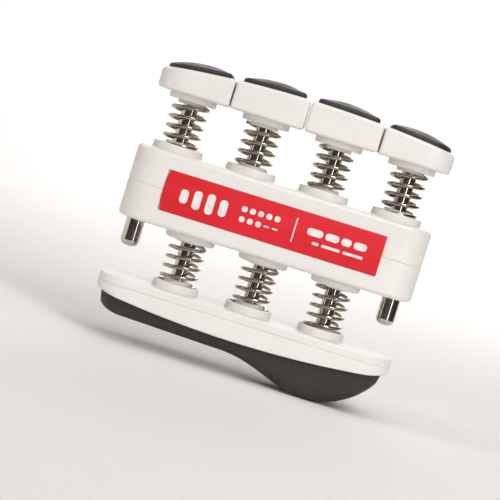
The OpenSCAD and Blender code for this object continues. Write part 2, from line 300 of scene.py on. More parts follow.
class Nodes:
    """Short names for building one material's node tree."""

    def __init__(self, name):
        self.material = bpy.data.materials.new(name)
        self.material.use_nodes = True
        self.tree = self.material.node_tree
        self.shader = self.tree.nodes["Principled BSDF"]
        self.place = self.add("ShaderNodeTexCoord").outputs["Object"]

    def add(self, kind, **settings):
        node = self.tree.nodes.new(kind)
        for key, value in settings.items():
            setattr(node, key, value)
        return node

    def link(self, source, target):
        self.tree.links.new(source, target)

    def stretched(self, x, y, z):
        node = self.add("ShaderNodeMapping")
        node.inputs["Scale"].default_value = (x, y, z)
        self.link(self.place, node.inputs["Vector"])
        return node.outputs["Vector"]

    def noise(self, scale, detail=3.0, where=None):
        node = self.add("ShaderNodeTexNoise")
        node.inputs["Scale"].default_value = scale
        node.inputs["Detail"].default_value = detail
        self.link(where or self.place, node.inputs["Vector"])
        return node.outputs["Fac"]

    def remap(self, source, low, high, to_low, to_high):
        node = self.add("ShaderNodeMapRange", interpolation_type="SMOOTHSTEP")
        node.inputs["From Min"].default_value = low
        node.inputs["From Max"].default_value = high
        node.inputs["To Min"].default_value = to_low
        node.inputs["To Max"].default_value = to_high
        self.link(source, node.inputs["Value"])
        return node.outputs["Result"]

    def math(self, operation, a, b):
        node = self.add("ShaderNodeMath", operation=operation)
        self.feed(a, node.inputs[0])
        self.feed(b, node.inputs[1])
        return node.outputs["Value"]

    def feed(self, value, socket):
        if hasattr(value, "links"):
            self.link(value, socket)
        else:
            socket.default_value = value

    def mix(self, amount, a, b):
        node = self.add("ShaderNodeMix", data_type="RGBA")
        self.feed(amount, node.inputs["Factor"])
        self.feed(a, node.inputs["A"])
        self.feed(b, node.inputs["B"])
        return node.outputs["Result"]

    def crevice(self, distance, samples=6):
        # Ambient occlusion: darker where nearby surfaces shut out light; used as painted shade.
        node = self.add("ShaderNodeAmbientOcclusion", samples=samples)
        node.inputs["Distance"].default_value = distance
        return node.outputs["AO"]

    def edges(self):
        return self.add("ShaderNodeNewGeometry").outputs["Pointiness"]

    def bump(self, height, strength, distance, before=None):
        node = self.add("ShaderNodeBump")
        node.inputs["Strength"].default_value = strength
        node.inputs["Distance"].default_value = distance
        self.link(height, node.inputs["Height"])
        if before:
            self.link(before, node.inputs["Normal"])
        return node.outputs["Normal"]

    def output(self, color, roughness, normal):
        self.link(color, self.shader.inputs["Base Color"])
        self.link(roughness, self.shader.inputs["Roughness"])
        self.link(normal, self.shader.inputs["Normal"])
        return self.material


WARM = (0.83, 0.812, 0.78, 1)
# Dirt brown that the painted shade in the white plastic's crevices darkens towards.
SHADE_AND_DIRT_BROWN = (0.30, 0.24, 0.18, 1)
RUBBER_DARK = (0.023, 0.0190, 0.0155, 1)
RUBBER_PALE = (0.032, 0.0265, 0.022, 1)
RUBBER_WORN = (0.11, 0.10, 0.095, 1)
RUBBER_DUST = (0.13, 0.12, 0.11, 1)
BRIGHT_STEEL = (0.62, 0.59, 0.55, 1)
# Spring wire tone, darkened and tinted brown: partly the steel's own colour, partly a painted brown
# reflection.
WIRE_STEEL_AND_BROWN_REFLECTION = (0.50, 0.44, 0.36, 1)
DULL_STEEL = (0.42, 0.40, 0.38, 1)
LABEL_RED = (0.74, 0.012, 0.024, 1)
LABEL_DEEP = (0.68, 0.009, 0.019, 1)
INK_WHITE = (0.86, 0.84, 0.82, 1)
INK_WORN = (0.78, 0.70, 0.69, 1)


def white_plastic(name, gloss):
    """Moulded warm white plastic: faint flow marks, handling smudges, and painted shade in the seams, tinted
    dirt-brown.
    """
    n = Nodes(name)
    flow = n.noise(45, 4, n.stretched(1, 1, 2.5))
    tint = n.mix(n.remap(flow, 0.35, 0.7, 0, 1), WARM, [c * 0.955 for c in WARM[:3]] + [1])
    # Painted shade: ambient occlusion darkens crevices and seams towards a dirt brown, broken into patches.
    crevice_shade_and_dirt = n.remap(n.crevice(0.0011), 0.25, 0.85, 0.5, 0.0)
    blotch = n.remap(n.noise(160, 3), 0.4, 0.65, 0.45, 1.0)
    color = n.mix(n.math("MULTIPLY", crevice_shade_and_dirt, blotch), tint, SHADE_AND_DIRT_BROWN)
    smudge = n.remap(n.noise(85, 5), 0.38, 0.68, 0.0, 0.11)
    grain = n.remap(n.noise(2600, 2), 0.3, 0.7, gloss - 0.03, gloss + 0.03)
    peel = n.bump(n.noise(420, 2), 0.10, 0.00006)
    normal = n.bump(n.noise(3800, 2), 0.12, 0.00002, peel)
    n.shader.inputs["IOR"].default_value = 1.5
    return n.output(color, n.math("ADD", grain, smudge), normal)


def rubber(name):
    """Matte dark grey rubber with a stippled skin, light dust and paler worn edges."""
    n = Nodes(name)
    base = n.mix(n.remap(n.noise(70, 4), 0.35, 0.68, 0, 1), RUBBER_DARK, RUBBER_PALE)
    worn = n.mix(n.remap(n.edges(), 0.51, 0.60, 0, 0.35), base, RUBBER_WORN)
    dust = n.remap(n.noise(1500, 3), 0.62, 0.78, 0, 0.35)
    color = n.mix(dust, worn, RUBBER_DUST)
    roughness = n.remap(n.noise(220, 4), 0.3, 0.7, 0.44, 0.60)
    stipple = n.bump(n.noise(1900, 2), 0.35, 0.00007)
    normal = n.bump(n.noise(160, 3), 0.12, 0.00015, stipple)
    n.shader.inputs["IOR"].default_value = 1.42
    return n.output(color, roughness, normal)


def plated_steel(name, tone, low, high, along):
    """Bright plated steel with fine drawn lines; along stretches them on X, Y or Z."""
    n = Nodes(name)
    n.shader.inputs["Metallic"].default_value = 1.0
    cloud = n.noise(260, 4)
    color = n.mix(n.remap(cloud, 0.35, 0.7, 0, 1), tone, [c * 0.86 for c in tone[:3]] + [1])
    lines = n.noise(1.0, 3, n.stretched(*along))
    roughness = n.math(
        "ADD", n.remap(lines, 0.3, 0.7, low, high), n.remap(n.noise(110, 3), 0.45, 0.7, 0, 0.06)
    )
    return n.output(color, roughness, n.bump(lines, 0.10, 0.00002))


def red_label():
    """Glossy red panel under a clear skin, with hair scratches."""
    n = Nodes("label_red")
    deep = n.noise(35, 3)
    color = n.mix(n.remap(deep, 0.3, 0.7, 0, 1), LABEL_RED, LABEL_DEEP)
    scratches = n.noise(1.0, 2, n.stretched(260, 900, 5200))
    roughness = n.math(
        "ADD",
        n.remap(scratches, 0.55, 0.75, 0.30, 0.40),
        n.remap(n.noise(120, 4), 0.4, 0.7, 0.0, 0.07),
    )
    normal = n.bump(n.noise(240, 2), 0.06, 0.00006)
    n.shader.inputs["Coat Weight"].default_value = 0.05
    n.shader.inputs["Specular IOR Level"].default_value = 0.3
    n.shader.inputs["Coat Roughness"].default_value = 0.15
    return n.output(color, roughness, normal)


def white_ink():
    n = Nodes("label_ink")
    fade = n.noise(700, 3)
    color = n.mix(n.remap(fade, 0.35, 0.75, 0, 1), INK_WHITE, INK_WORN)
    roughness = n.remap(n.noise(900, 3), 0.3, 0.7, 0.28, 0.42)
    return n.output(color, roughness, n.bump(n.noise(2200, 2), 0.15, 0.00002))


shell_white = white_plastic("shell_white", 0.34)
cap_white = white_plastic("cap_white", 0.32)
grip_rubber = rubber("grip_rubber")
pad_rubber = rubber("pad_rubber")
shaft_steel = plated_steel("shaft_steel", BRIGHT_STEEL, 0.05, 0.14, (3200, 3200, 70))
pin_steel = plated_steel("pin_steel", BRIGHT_STEEL, 0.06, 0.16, (220, 220, 3800))
# The wire's base colour carries a painted brown reflection.
wire_steel = plated_steel("wire_steel", WIRE_STEEL_AND_BROWN_REFLECTION, 0.05, 0.12, (900, 900, 2600))
clip_steel = plated_steel("clip_steel", DULL_STEEL, 0.28, 0.42, (900, 900, 900))
label_material = red_label()
ink = white_ink()

# --------------------------------------------------------------- housing


def boss_profile(radius, height, base, bore_end):
    """Outer root, rim, groove for the end coil, spigot and bore, from outside inwards."""
    root, rim, lip, top, draft, bevel = 0.25, 0.3, 0.12, 0.35, 0.08, 0.22
    high = base + height
    spigot = high + SPIGOT_RISE
    return (
        arc(radius + draft + root, base + root, root, 270, 180, 4)
        + arc(radius - rim, high - rim, rim, 0, 90, 5)
        + [(GROOVE_OUT + lip, high), (GROOVE_OUT, high - lip)]
        + [(GROOVE_OUT, high - GROOVE_DEPTH), (GROOVE_IN, high - GROOVE_DEPTH)]
        + arc(GROOVE_IN - top, spigot - top, top, 0, 90, 4)
        + [(BORE_R + bevel, spigot), (BORE_R, spigot - bevel), (BORE_R, bore_end)]
    )


def hanging_profile(radius, height, base, round_r, spigot_h, bore_end):
    """Root, rounded lower edge, spigot and bore of a boss that hangs down."""
    root, tip, step, bevel = 0.25, 0.2, 0.02, 0.2
    low = base - height
    spigot = low - spigot_h
    return (
        arc(radius + root, base - root, root, 90, 180, 4)
        + arc(radius - round_r, low + round_r, round_r, 0, -90, 6)
        + [(GROOVE_IN + step, low)]
        + arc(GROOVE_IN - tip, spigot + tip, tip, 0, -90, 3)
        + [(BORE_R + bevel, spigot), (BORE_R, spigot + bevel), (BORE_R, bore_end)]
    )


def bar_ring(depth, inset, z, corner=END_R):
    return [(x, y, z) for x, y in outline(BAR_W, depth, (corner, corner), inset)]


# The V at a seam, in shares of its depth: how far in, and how far from the seam
SEAM_STEPS = ((0.0, 1.2), (0.35, 0.5), (1.0, 0.0))


def seam_rings(depth, seam_z, away):
    """Side of the V at a seam; away is 1 for a shell above the seam and -1 for one below."""
    return [bar_ring(depth, SEAM_V * i, seam_z + away * SEAM_V * gap) for i, gap in SEAM_STEPS]


def shell_wall(depth, outer_z, seam_z, edge=EDGE_R):
    """Outer skin of a half shell: rounded long edge, wall, and a fine V at the seam."""
    up = 1 if seam_z > outer_z else -1
    rings = []
    for i in range(9):
        a = math.radians(90 * i / 8)
        z = outer_z + up * edge * (1 - math.cos(a))
        rings.append(bar_ring(depth, edge * (1 - math.sin(a)), z))
    return rings + seam_rings(depth, seam_z, -up)


# Inside the housing: guide tubes, and the tongue of the lower shell in its slot
UPPER_GUIDE_H = 2.8
LOWER_GUIDE_H = 4.4
TONGUE_H = 1.2
TONGUE_IN = 0.92
TONGUE_TIP_IN = 1.05
TONGUE_TIP_H = 0.15
SLOT_IN = 0.85
SLOT_H = 1.25
PIN_GAP = 0.02
PIN_LEAD = 0.28
PIN_POST_R = 3.8
PIN_POST_H = 3
PIN_POST_SINK = 0.5


def make_housing_upper():
    bm = bmesh.new()
    roof = HOUSING_TOP - WALL
    guide_end = roof - UPPER_GUIDE_H
    slot = SEAM_Z + SLOT_H
    rings = shell_wall(HOUSING_D, HOUSING_TOP, SEAM_Z)
    rings += [bar_ring(HOUSING_D, SLOT_IN, SEAM_Z), bar_ring(HOUSING_D, SLOT_IN, slot)]
    rings += [bar_ring(HOUSING_D, WALL, slot), bar_ring(HOUSING_D, WALL, roof)]
    outer, inner = loft(bm, rings)
    tops, guides = [], []
    for x in FINGER_X:
        profile = boss_profile(BOSS_R, TOP_BOSS_H, HOUSING_TOP, guide_end)
        profile += [(GUIDE_R, guide_end), (GUIDE_R, roof)]
        first, last = revolve(bm, x, profile)
        tops.append(first)
        guides.append(last)
    fill(bm, outer, *tops)
    fill(bm, inner, *guides)
    return finish_mesh("upper_shell", bm, shell_white)


def make_housing_lower():
    bm = bmesh.new()
    floor = HOUSING_Z + WALL
    guide_end = floor + LOWER_GUIDE_H
    lip = SEAM_Z + TONGUE_H
    steps = [(TONGUE_IN, SEAM_Z), (TONGUE_IN, lip - TONGUE_TIP_H), (TONGUE_TIP_IN, lip)]
    steps += [(WALL, lip), (WALL, floor)]
    rings = shell_wall(HOUSING_D, HOUSING_Z, SEAM_Z)
    rings += [bar_ring(HOUSING_D, inset, z) for inset, z in steps]
    outer, inner = loft(bm, rings)
    lows, guides = [], []
    for x in PALM_X:
        profile = hanging_profile(BOSS_R, LOWER_BOSS_H, HOUSING_Z, 0.7, 0.4, guide_end)
        profile += [(GUIDE_R, guide_end), (GUIDE_R, floor)]
        first, last = revolve(bm, x, profile)
        lows.append(first)
        guides.append(last)
    pin_hole = PIN_R + PIN_GAP
    for x in (-PIN_X, PIN_X):
        hole = [(PIN_R + PIN_LEAD, HOUSING_Z), (pin_hole, HOUSING_Z + 0.3), (pin_hole, floor)]
        first, last = revolve(bm, x, hole)
        lows.append(first)
        guides.append(last)
    fill(bm, outer, *lows)
    fill(bm, inner, *guides)
    for x in (-PIN_X, PIN_X):
        low, high = floor - PIN_POST_SINK, floor + PIN_POST_H
        post = [(pin_hole, low), (PIN_POST_R, low), (PIN_POST_R, high), (pin_hole, high)]
        first, last = revolve(bm, x, post)
        bridge(bm, last, first)
    return finish_mesh("lower_shell", bm, shell_white)


LABEL_X = (label_low.x + label_high.x) / 2
LABEL_W = label_high.x - label_low.x
LABEL_H = label_high.z - label_low.z
LABEL_RISE = -HOUSING_D / 2 - label_low.y
LABEL_EDGE = 0.11
LABEL_GAP = 0.04
LABEL_RADII = (0.5, 0.4)
LABEL_BOW = 0.5
LABEL_BOW_REACH = 6
LABEL_INSETS = (0.5, 0.9, 1.5, 2.2, 3.0, 3.9, 4.7, 5.3)
POCKET_DEPTH = 0.58
INK_PROUD = 0.012


def label_y(z, proud=0.0):
    """Front surface of the bowed label at height z above its middle."""
    t = z / (LABEL_H / 2)
    return -HOUSING_D / 2 - LABEL_RISE * (1 - t * t) - proud


def label_ring(inset, back=0.0, y=None):
    """One ring of the label; its left edge is slightly bowed as well."""
    ring = []
    end = -LABEL_W / 2
    for x, z in outline(LABEL_W, LABEL_H, LABEL_RADII, inset, run_x=48, run_y=16, corner=6):
        near_end = 1 - smooth_step(x, end, end + LABEL_BOW_REACH)
        bowed = x + LABEL_BOW * near_end * (z / (LABEL_H / 2)) ** 2
        ring.append((LABEL_X + bowed, label_y(z) + back if y is None else y, SEAM_Z + z))
    return ring


def make_label():
    bm = bmesh.new()
    rings = [label_ring(LABEL_GAP, y=-HOUSING_D / 2 + depth) for depth in (0.5, 0.1)]
    rings.append(label_ring(LABEL_GAP, back=LABEL_EDGE))
    for i in range(1, 5):
        a = math.radians(90 * i / 4)
        inset = LABEL_GAP + LABEL_EDGE * (1 - math.cos(a))
        rings.append(label_ring(inset, back=LABEL_EDGE * (1 - math.sin(a))))
    rings += [label_ring(inset) for inset in LABEL_INSETS]
    back, front = loft(bm, rings)
    bm.faces.new(back)
    bm.faces.new(front)
    return finish_mesh("label", bm, label_material, sharp=50)


MARK_RUN_X, MARK_RUN_Y, MARK_CORNER = 6, 8, 5


def add_mark(bm, x, z, width, height):
    """One printed bar with round ends, laid on the bowed label."""
    short = min(width, height)
    rings = []
    for t in (0.0, 0.3, 0.6, 0.85, 0.97):
        inset = t * short / 2
        radii = (short * 0.42, short * 0.42)
        flat = outline(width, height, radii, inset, MARK_RUN_X, MARK_RUN_Y, MARK_CORNER)
        rings.append([(x + u, label_y(z + w, INK_PROUD), SEAM_Z + z + w) for u, w in flat])
    _, last = loft(bm, rings)
    close_ring(bm, last, -MARK_RUN_X if height > width else 2 * MARK_CORNER + MARK_RUN_Y)


def make_print():
    """Generic marks: four bars, a level scale of dots, a divider and plain lines."""
    bm = bmesh.new()
    for i, height in enumerate((3.6, 4.9, 5.3, 4.3)):
        add_mark(bm, -24.2 + 3.5 * i, -0.2, 2.1, height)
    dot, flat_dot = 1.5, 0.45
    for i in range(5):
        x = -8.3 + 2.2 * i
        add_mark(bm, x, 1.3, dot, dot)
        add_mark(bm, x, -1.4, dot, dot if i < 3 else flat_dot)
    add_mark(bm, 5.4, 0.0, 0.32, 6.4)
    for x, width in ((10.8, 4.2), (15.4, 3.6), (19.2, 2.6), (22.9, 3.4)):
        add_mark(bm, x, 0.8, width, 1.9)
    for x, width in ((11.6, 1.8), (15.7, 5.0), (21.6, 5.4)):
        add_mark(bm, x, -1.9, width, 0.75)
    return finish_mesh("label_print", bm, ink, sharp=50)


def build_housing():
    front = -HOUSING_D / 2
    pocket_low = Vector((label_low.x - LABEL_GAP, front - 1, label_low.z - LABEL_GAP))
    pocket_high = Vector((label_high.x + LABEL_GAP, front + POCKET_DEPTH, label_high.z + LABEL_GAP))
    upper, lower = make_housing_upper(), make_housing_lower()
    for obj, node in ((upper, "housing_upper"), (lower, "housing_lower")):
        cut(obj, pocket_low, pocket_high)
        flat_normals(obj)
        place(obj, "housing", "white_plastic", node)
    panel = make_label()
    flat_normals(panel)
    place(panel, "housing", "label_red", "label_panel")
    place(make_print(), "housing", "white_plastic")


# -------------------------------------------------------------- palm bar


def arc_z(x):
    return PALM_ARC_Z + PALM_ARC_R - math.sqrt(PALM_ARC_R**2 - x * x)


def make_palm_plate():
    bm = bmesh.new()
    outer, under = loft(bm, shell_wall(PALM_D, PALM_TOP, PLATE_Z, PALM_EDGE_R))
    tops, lows = [], []
    for x in PALM_X:
        first, last = revolve(bm, x, boss_profile(PALM_BOSS_R, PALM_BOSS_H, PALM_TOP, PLATE_Z))
        tops.append(first)
        lows.append(last)
    fill(bm, outer, *tops)
    fill(bm, under, *lows)
    return finish_mesh("palm_plate", bm, shell_white)


SHELL_END_R = 1.2
SHELL_EDGE_R = 0.45
SHELL_END_FROM, SHELL_END_TO = 34, 39.5
HEAD_POCKET_R = 3.6
HEAD_POCKET_H = 1.6


def palm_shell_ring(inset, drop):
    """One ring of the shell's lower edge; the edge radius grows towards the ends."""
    grow = SHELL_END_R - SHELL_EDGE_R
    ring = []
    for x, y in outline(BAR_W, PALM_D, (END_R, END_R), 0):
        radius = SHELL_EDGE_R + grow * smooth_step(abs(x), SHELL_END_FROM, SHELL_END_TO)
        scale_x = (BAR_W / 2 - inset * radius) / (BAR_W / 2)
        scale_y = (PALM_D / 2 - inset * radius) / (PALM_D / 2)
        ring.append((x * scale_x, y * scale_y, arc_z(x) + drop * radius))
    return ring


def make_palm_shell():
    bm = bmesh.new()
    top = seam_rings(PALM_D, PLATE_Z, -1)[::-1]
    edge = []
    for i in range(7):
        a = math.radians(90 * i / 6)
        edge.append(palm_shell_ring(1 - math.cos(a), 1 - math.sin(a)))
    for k in range(len(edge[0])):
        floor_z = top[-1][k][2] - 0.02
        if edge[0][k][2] > floor_z:
            edge[0][k] = (edge[0][k][0], edge[0][k][1], floor_z)
    edge.append([(x * 0.9, y * 0.8, z) for x, y, z in edge[-1]])
    first, last = loft(bm, top + edge)
    pockets = []
    floor_z = PLATE_Z - HEAD_POCKET_H
    for x in PALM_X:
        pocket, bottom = revolve(bm, x, [(HEAD_POCKET_R, PLATE_Z), (HEAD_POCKET_R, floor_z)])
        bm.faces.new(bottom)
        pockets.append(pocket)
    fill(bm, first, *pockets)
    close_ring(bm, last)
    return finish_mesh("palm_shell", bm, shell_white)


BULGE_X = 20.5
BULGE_START = -5.5
BULGE_H = 5.9
GRIP_W = 76.8
GRIP_D = 17.4
GRIP_END_R = 6.4
GRIP_CORNER = 14
GRIP_TAPER = 0.6
GRIP_MIN_H = 0.6
TOE_X = -31
TOE_CURVE = 0.020
SLOPE_RISE = 0.7
SLOPE_L = 25
EASE_POWER = 1.15
TAIL_CURVE = 0.0265


def grip_low(x):
    """Lower edge of the grip: a shallow slope that eases into a rounded bulge."""
    if x < BULGE_START:
        toe = TOE_CURVE * max(0.0, TOE_X - x) ** 2
        return BULGE_H + toe + SLOPE_RISE * min(1.0, (BULGE_START - x) / SLOPE_L)
    if x < BULGE_X:
        ease = ((x - BULGE_START) / (BULGE_X - BULGE_START)) ** EASE_POWER
        return BULGE_H / 2 * (1 + math.cos(math.pi * ease))
    return TAIL_CURVE * (x - BULGE_X) ** 2


def grip_ring(inset, share):
    """One ring of the grip; share runs from the palm bar (0) to the lower surface (1)."""
    ring = []
    radii = (GRIP_END_R, GRIP_END_R)
    for x, y in outline(GRIP_W, GRIP_D, radii, inset, run_x=84, corner=GRIP_CORNER):
        top = arc_z(x) - 0.02
        low = min(grip_low(x), top - GRIP_MIN_H)
        x -= math.copysign(GRIP_TAPER * smooth_step(abs(x), 24, 38) * share, x)
        ring.append((x, y, top - (top - low) * share))
    return ring


def make_grip():
    """Flat-sided rubber body with a rounded lower edge and a full bottom."""
    bm = bmesh.new()
    rings = [grip_ring(0.3, 0.0), grip_ring(0.06, 0.03), grip_ring(0.0, 0.08)]
    rings += [grip_ring(0.02 + 0.1 * t, 0.1 + 0.5 * t) for t in (0.0, 0.25, 0.5, 0.75)]
    reach, power = 2.6, 2.2
    for i in range(1, 13):
        inset = reach * (i / 12) ** 1.6
        share = (1 - (1 - inset / reach) ** power) ** (1 / power)
        rings.append(grip_ring(0.12 + inset, 0.6 + 0.4 * share))
    rings += [grip_ring(inset, 1.0) for inset in (3.4, 4.4, 5.6, 6.8, 7.8, 8.4, 8.66)]
    top, bottom = loft(bm, rings)
    for ring in (top, bottom):
        close_ring(bm, ring, 2 * GRIP_CORNER + RUN_Y)
    return finish_mesh("grip", bm, grip_rubber, sharp=60)


def build_palm_bar():
    plate, shell = make_palm_plate(), make_palm_shell()
    for obj, node in ((plate, "palm_bar_plate"), (shell, "palm_bar_shell")):
        flat_normals(obj)
        place(obj, "palm_bar", "white_plastic", node)
    place(make_grip(), "palm_bar", "grip_rubber", "palm_grip")


# --------------------------------------------------------------- buttons


CAP_CORNER_R = 0.9
RECESS_CORNER_R = 1.7
CAP_LOW_R = 0.85
CAP_HIGH_R = 0.9
CAP_RING = {"run_x": 14, "run_y": 8, "corner": 10}
PART_LINE_H = 2.7
PART_LINE_HALF = 0.09
PART_LINE_DEPTH = 0.035
COLLAR_EDGE_R = 0.35
CAP_BORE_H = 5


def crown_z(x):
    return BUTTON_Z + BUTTON_H - CROWN_R + math.sqrt(CROWN_R**2 - x * x)


def cap_radii(i, small):
    """Outer ends of the row are rounded like the housing."""
    return (END_R if i == 0 else small, END_R if i == len(FINGERS) - 1 else small)


def cap_ring(i, inset, z=None, below=0.0):
    """A ring round a cap, at a height or at a distance below the crown."""
    ring = []
    for x, y in outline(BUTTON_W, BUTTON_D, cap_radii(i, CAP_CORNER_R), inset, **CAP_RING):
        x += FINGER_X[i]
        ring.append((x, y, crown_z(x) - below if z is None else z))
    return ring


def recess_ring(i, inset, below):
    """A ring inside the cap's recess, at a distance below the crown."""
    radii = cap_radii(i, RECESS_CORNER_R + PAD_INSET)
    radii = (radii[0] - PAD_INSET, radii[1] - PAD_INSET)
    width, depth = BUTTON_W - 2 * PAD_INSET, BUTTON_D - 2 * PAD_INSET
    ring = []
    for x, y in outline(width, depth, radii, inset, **CAP_RING):
        x += FINGER_X[i]
        drop = below(x - FINGER_X[i], y) if callable(below) else below
        ring.append((x, y, crown_z(x) - drop))
    return ring


def make_cap(i):
    bm = bmesh.new()
    low, high = CAP_LOW_R, CAP_HIGH_R
    rings = []
    for k in range(7):
        a = math.radians(15 * k)
        rings.append(cap_ring(i, low * (1 - math.sin(a)), z=BUTTON_Z + low * (1 - math.cos(a))))
    line, half = BUTTON_Z + PART_LINE_H, PART_LINE_HALF
    rings.append(cap_ring(i, 0, z=line - half))
    rings.append(cap_ring(i, PART_LINE_DEPTH, z=line))
    rings.append(cap_ring(i, 0, z=line + half))
    for k in range(7):
        a = math.radians(15 * k)
        rings.append(cap_ring(i, high * (1 - math.cos(a)), below=high * (1 - math.sin(a))))
    rings += [recess_ring(i, -0.08, 0.0), recess_ring(i, 0.0, 0.08)]
    rings += [recess_ring(i, 0.0, PAD_SINK), recess_ring(i, 4.5, PAD_SINK)]
    under, floor = loft(bm, rings)
    bm.faces.new(floor)
    profile = hanging_profile(
        COLLAR_R, COLLAR_H, BUTTON_Z, COLLAR_EDGE_R, SPIGOT_RISE, COLLAR_Z + CAP_BORE_H
    )
    first, last = revolve(bm, FINGER_X[i], profile)
    bm.faces.new(last)
    fill(bm, under, first)
    return finish_mesh(f"cap_{FINGERS[i]}", bm, cap_white)


def make_pad(i):
    """Domed rubber insert: foot in the recess, upright edge, round shoulder, dome."""
    bm = bmesh.new()
    edge, shoulder, gap = 1.3, 0.75, 0.05
    rings = [recess_ring(i, gap + 0.1, PAD_SINK - 0.03), recess_ring(i, gap, PAD_SINK - 0.15)]
    rings.append(recess_ring(i, gap, -0.1))
    for k in range(7):
        a = math.radians(15 * k)
        inset = gap + shoulder * (1 - math.cos(a))
        rings.append(recess_ring(i, inset, -(edge - shoulder) - shoulder * math.sin(a)))
    inner = gap + shoulder
    half_w, half_d = BUTTON_W / 2 - PAD_INSET - inner, BUTTON_D / 2 - PAD_INSET - inner

    def dome(x, y):
        share = (1 - abs(x / half_w) ** 2.2) * (1 - abs(y / half_d) ** 2.2)
        return -edge - (PAD_RISE - edge) * max(0.0, share)

    for k in range(1, 13):
        rings.append(recess_ring(i, inner + 0.98 * half_w * k / 12, dome))
    foot, crown = loft(bm, rings)
    bm.faces.new(foot)
    bm.faces.new(crown)
    return finish_mesh(f"rubber_pad_{FINGERS[i]}", bm, pad_rubber, sharp=60)


ROD_ROUND = 0.3
PIN_ROUND = 1.55
ROD_HEAD = (3.5, 1.6)


def make_rod(name, x, radius, low, high, rounding, material, head=None):
    """Turned rod with rounded or chamfered ends and an optional head at its foot."""
    bm = bmesh.new()
    if head:
        head_r, head_top = head[0], low + head[1]
        start = [(head_r - 0.2, low), (head_r, low + 0.2), (head_r, head_top - 0.05)]
        start += [(radius + 0.1, head_top - 0.05), (radius, head_top)]
    else:
        start = arc(radius - rounding, low + rounding, rounding, -90, 0, 6)
    profile = start + arc(radius - rounding, high - rounding, rounding, 0, 90, 6)
    first, last = revolve(bm, x, profile, steps=72)
    bm.faces.new(first)
    bm.faces.new(last)
    obj = finish_mesh(name, bm, material, sharp=40)
    flat_normals(obj)
    return obj


def build_buttons():
    for i, finger in enumerate(FINGERS):
        body = f"{finger}_button"
        cap = make_cap(i)
        flat_normals(cap)
        place(cap, body, "cap_plastic", f"button_{finger}")
        place(make_pad(i), body, "pad_rubber", f"pad_{finger}")
        low, high = box_mm(f"finger_shaft_{finger}")
        rod = make_rod(f"rod_{finger}", FINGER_X[i], SHAFT_R, low.z, high.z, ROD_ROUND, shaft_steel)
        place(rod, body, "shaft_steel", f"finger_shaft_{finger}")


def build_rods():
    for side, x in zip(SIDES, PALM_X):
        low, high = box_mm(f"palm_shaft_{side}")
        rod = make_rod(
            f"palm_rod_{side}", x, SHAFT_R, low.z, high.z, ROD_ROUND, shaft_steel, ROD_HEAD
        )
        place(rod, "palm_bar", "shaft_steel", f"palm_shaft_{side}")
    for side, x in (("left", -PIN_X), ("right", PIN_X)):
        low, high = box_mm(f"end_pin_{side}")
        pin = make_rod(f"dowel_{side}", x, PIN_R, low.z, high.z, PIN_ROUND, pin_steel)
        place(pin, "housing", "pin_steel", f"end_pin_{side}")


# --------------------------------------------------------------- springs

WIRE_R = 0.475
COIL_R = 4.625
FINGER_TURNS, PALM_TURNS = 5.4, 5.2
FINGER_START = [272, 36, 82, 286]
PALM_START = [24, 18, 167]
TURN_STEPS = 56
WIRE_SIDES = 18
CUT_SHARE = 0.0016
CUT_SCALE = 0.8


def make_spring(name, x, low, high, turns, start):
    """Right-handed, evenly pitched open coil, and how far along the wire each point is."""
    bm = bmesh.new()
    steps = int(turns * TURN_STEPS)
    z0, z1 = low + WIRE_R, high - WIRE_R
    slope = math.atan2((z1 - z0) / turns, 2 * math.pi * COIL_R)
    rings, shares = [], []
    stations = [(0.0, CUT_SCALE), (CUT_SHARE, 1.0)]
    stations += [(i / steps, 1.0) for i in range(1, steps)]
    stations += [(1 - CUT_SHARE, 1.0), (1.0, CUT_SCALE)]
    for t, scale in stations:
        a = math.radians(start + 360 * turns * t)
        lean = math.sin(slope)
        out = Vector((math.cos(a), math.sin(a), 0))
        up = Vector((math.sin(a) * lean, -math.cos(a) * lean, math.cos(slope)))
        centre = Vector((x, 0, z0 + (z1 - z0) * t)) + COIL_R * out
        ring = []
        for k in range(WIRE_SIDES):
            b = 2 * math.pi * k / WIRE_SIDES
            ring.append(tuple(centre + WIRE_R * scale * (math.cos(b) * out + math.sin(b) * up)))
        rings.append(ring)
        shares += [t] * WIRE_SIDES
    first, last = loft(bm, rings)
    bm.faces.new(first)
    bm.faces.new(last)
    return finish_mesh(name, bm, wire_steel, sharp=45), shares


def stretch(obj, shares, fixed, moving, low, high):
    x = obj.data.vertices[0].co.x
    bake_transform(obj, fixed, moving, start=(x, 0, low * MM), end=(x, 0, high * MM))
    weights = obj.data.attributes["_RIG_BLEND"].data
    for point, share in zip(weights, shares):
        point.value = share


def build_springs():
    for i, finger in enumerate(FINGERS):
        low, high = box_mm(f"finger_spring_{finger}")
        obj, shares = make_spring(
            f"coil_{finger}", FINGER_X[i], low.z, high.z, FINGER_TURNS, FINGER_START[i]
        )
        stretch(obj, shares, "housing", f"{finger}_button", low.z, high.z)
        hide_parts(f"finger_spring_{finger}")
    for side, x, start in zip(SIDES, PALM_X, PALM_START):
        low, high = box_mm(f"palm_spring_{side}")
        obj, shares = make_spring(f"palm_coil_{side}", x, low.z, high.z, PALM_TURNS, start)
        stretch(obj, shares, "palm_bar", "housing", low.z, high.z)
        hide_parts(f"palm_spring_{side}")


def paint_clips():
    names = [f"finger_clip_{f}" for f in FINGERS] + [f"palm_clip_{s}" for s in SIDES]
    for name in names:
        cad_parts[name].material_slots[0].material = clip_steel


build_housing()
build_palm_bar()
build_buttons()
build_rods()
build_springs()
paint_clips()

# ----------------------------------------------------------------- stage


PAPER = (0.90, 0.90, 0.90, 1)
PAPER_DIM = (0.885, 0.885, 0.885, 1)
FLOOR_NEAR, FLOOR_FAR, FLOOR_HALF_W = -2.5, 0.55, 3.0
SWEEP_R = 0.45
SWEEP_TOP = 2.6


